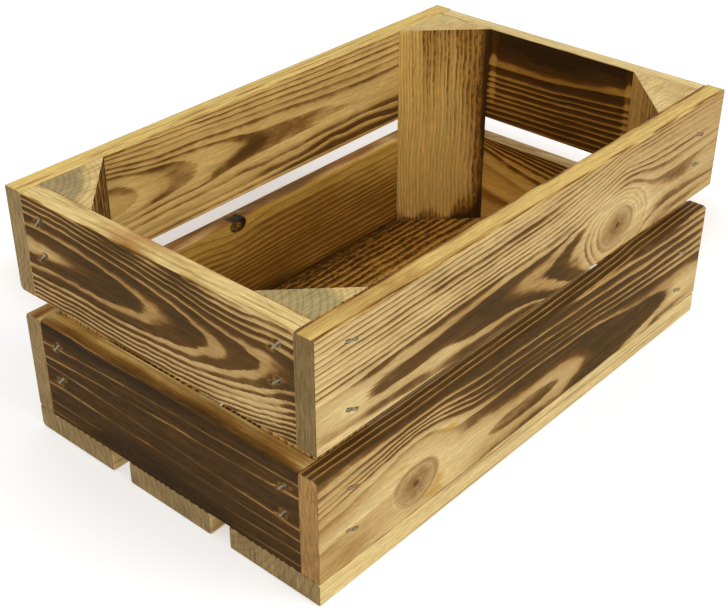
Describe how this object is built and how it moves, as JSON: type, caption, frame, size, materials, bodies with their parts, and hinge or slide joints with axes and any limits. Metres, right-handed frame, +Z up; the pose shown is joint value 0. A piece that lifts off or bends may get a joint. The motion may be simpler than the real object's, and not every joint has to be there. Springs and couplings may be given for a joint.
{
  "type": "wooden crate",
  "caption": "Open scorched pine storage crate of stapled boards on triangular corner posts, with slatted floor and sides.",
  "frame": {"origin": "centre of the crate's footprint, on the surface that it stands on", "axes": "+X along the long boards towards the right end, +Y across the crate towards the back, +Z up"},
  "size_m": [0.4, 0.246, 0.175],
  "materials": {
    "front_upper_board": "scorched and brushed, matt",
    "front_lower_board": "scorched and brushed, matt",
    "back_upper_board": "scorched and brushed, matt",
    "back_lower_board": "scorched and brushed, matt",
    "left_upper_board": "scorched and brushed, matt",
    "left_lower_board": "scorched and brushed, matt",
    "right_upper_board": "scorched and brushed, matt",
    "right_lower_board": "scorched and brushed, matt",
    "front_slat": "scorched and brushed, matt",
    "middle_slat": "scorched and brushed, matt",
    "back_slat": "scorched and brushed, matt",
    "front_left_post": "scorched and brushed, matt",
    "front_right_post": "scorched and brushed, matt",
    "back_left_post": "scorched and brushed, matt",
    "back_right_post": "scorched and brushed, matt",
    "staple_steel": "dull galvanised wire"
  },
  "bodies": {
    "root": {"front_upper_board": "front_upper_board", "front_lower_board": "front_lower_board", "back_upper_board": "back_upper_board", "back_lower_board": "back_lower_board", "left_upper_board": "left_upper_board", "left_lower_board": "left_lower_board", "right_upper_board": "right_upper_board", "right_lower_board": "right_lower_board", "front_slat": "front_slat", "middle_slat": "middle_slat", "back_slat": "back_slat", "front_left_post": "front_left_post", "front_right_post": "front_right_post", "back_left_post": "back_left_post", "back_right_post": "back_right_post", "front_staples": "staple_steel", "back_staples": "staple_steel", "left_staples": "staple_steel", "right_staples": "staple_steel", "bottom_staples": "staple_steel"}
  },
  "joints": []
}
